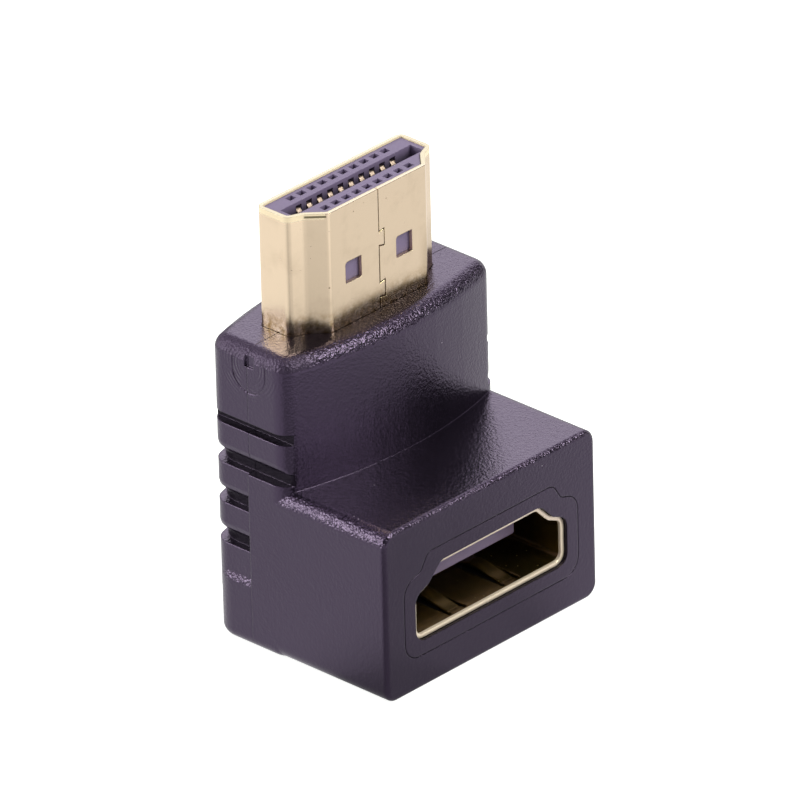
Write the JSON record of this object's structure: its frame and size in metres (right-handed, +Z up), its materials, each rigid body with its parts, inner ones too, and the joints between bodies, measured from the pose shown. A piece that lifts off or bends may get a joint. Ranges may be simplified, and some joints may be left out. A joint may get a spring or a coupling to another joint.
{
  "type": "right angle digital video adapter",
  "caption": "Right angle adapter: gold plated plug standing up from a dark moulded housing, socket facing sideways below, finger grooves in both ends.",
  "frame": {"origin": "middle of the bounding box in plan, on the flat underside of the housing", "axes": "+Z up, the way the plug points; -Y the way the socket mouth faces; X along the wide sides of both connectors"},
  "size_m": [0.0206, 0.0172, 0.0311],
  "materials": {
    "housing_plastic": "dark purple grey moulded vinyl, fine spark grain, satin",
    "collar_plastic": "dark purple grey moulded plastic, fine grain, satin",
    "plug_shell_gold": "pale gold plated folded sheet, a few dark specks",
    "socket_shell_gold": "gold plated folded sheet",
    "insulator_plastic": "lavender moulded insulator, smooth satin",
    "contact_gold": "gold plated spring strip",
    "board_laminate": "green laminate with solder mask"
  },
  "bodies": {
    "root": {"circuit_board": "board_laminate", "moulded_housing": "housing_plastic", "plug_contact_01": "contact_gold", "plug_contact_02": "contact_gold", "plug_contact_03": "contact_gold", "plug_contact_04": "contact_gold", "plug_contact_05": "contact_gold", "plug_contact_06": "contact_gold", "plug_contact_07": "contact_gold", "plug_contact_08": "contact_gold", "plug_contact_09": "contact_gold", "plug_contact_10": "contact_gold", "plug_contact_11": "contact_gold", "plug_contact_12": "contact_gold", "plug_contact_13": "contact_gold", "plug_contact_14": "contact_gold", "plug_contact_15": "contact_gold", "plug_contact_16": "contact_gold", "plug_contact_17": "contact_gold", "plug_contact_18": "contact_gold", "plug_contact_19": "contact_gold", "plug_insulator": "insulator_plastic", "plug_shell": "plug_shell_gold", "socket_collar": "collar_plastic", "socket_contact_01": "contact_gold", "socket_contact_02": "contact_gold", "socket_contact_03": "contact_gold", "socket_contact_04": "contact_gold", "socket_contact_05": "contact_gold", "socket_contact_06": "contact_gold", "socket_contact_07": "contact_gold", "socket_contact_08": "contact_gold", "socket_contact_09": "contact_gold", "socket_contact_10": "contact_gold", "socket_contact_11": "contact_gold", "socket_contact_12": "contact_gold", "socket_contact_13": "contact_gold", "socket_contact_14": "contact_gold", "socket_contact_15": "contact_gold", "socket_contact_16": "contact_gold", "socket_contact_17": "contact_gold", "socket_contact_18": "contact_gold", "socket_contact_19": "contact_gold", "socket_insulator": "insulator_plastic", "socket_shell": "socket_shell_gold"}
  },
  "joints": []
}
